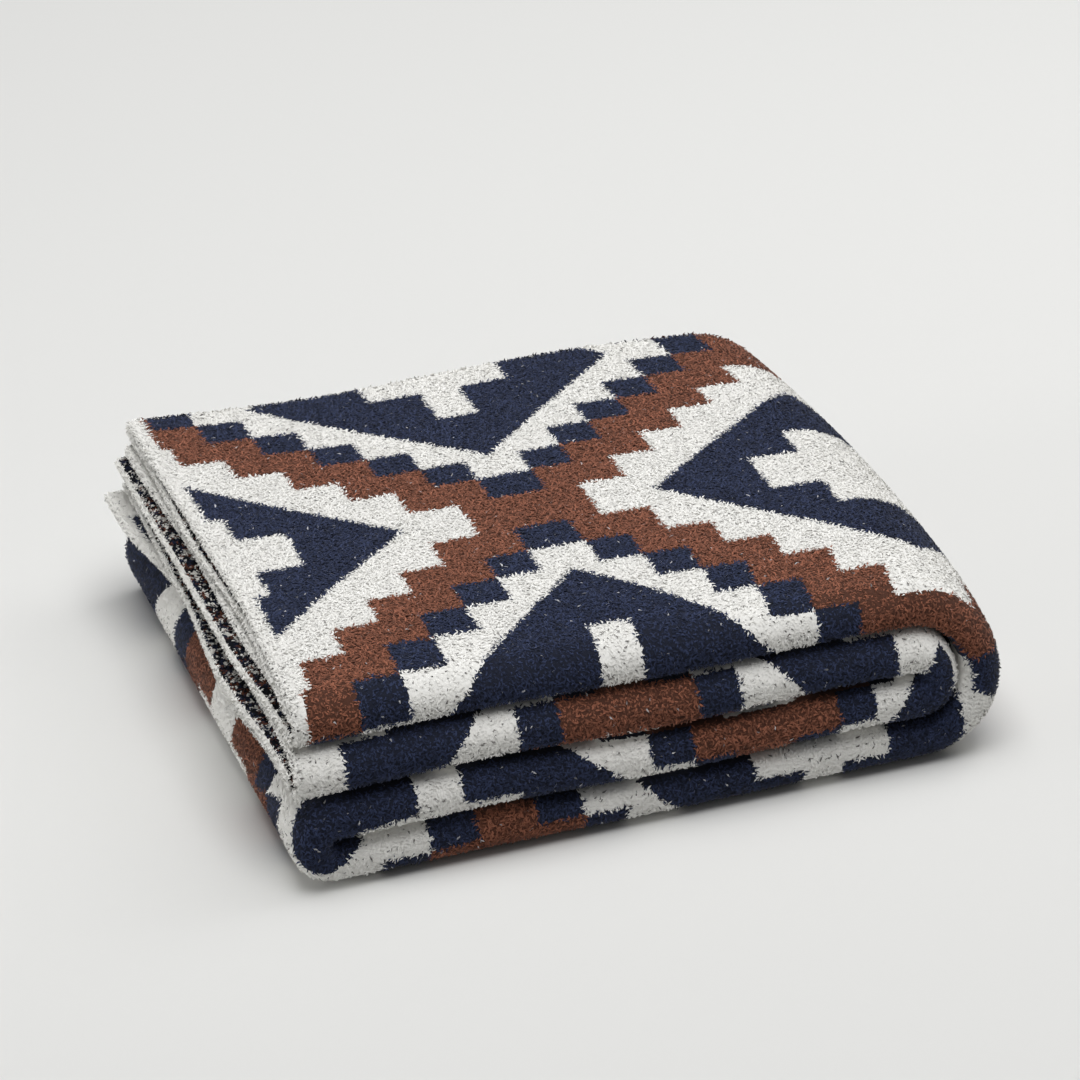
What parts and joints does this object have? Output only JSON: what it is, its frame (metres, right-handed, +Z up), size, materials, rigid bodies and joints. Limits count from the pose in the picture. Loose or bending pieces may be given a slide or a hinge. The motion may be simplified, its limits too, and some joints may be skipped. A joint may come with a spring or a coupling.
{
  "type": "folded throw blanket",
  "caption": "Knitted throw blanket folded into a low rectangular stack, with rolled front edges, round wraps on the right and open ends on the left.",
  "frame": {"origin": "middle of the flat underside, on the surface the stack rests on", "axes": "+Z up through the stack, +X from the open ends to the round wraps, -Y towards the rolled front edges"},
  "size_m": [0.393, 0.3452, 0.0942],
  "materials": {
    "knit_pile": "curly tufted knit in navy, rust and off-white, in a stepped geometric pattern"
  },
  "bodies": {
    "root": {"folded_throw": "knit_pile"}
  },
  "joints": []
}
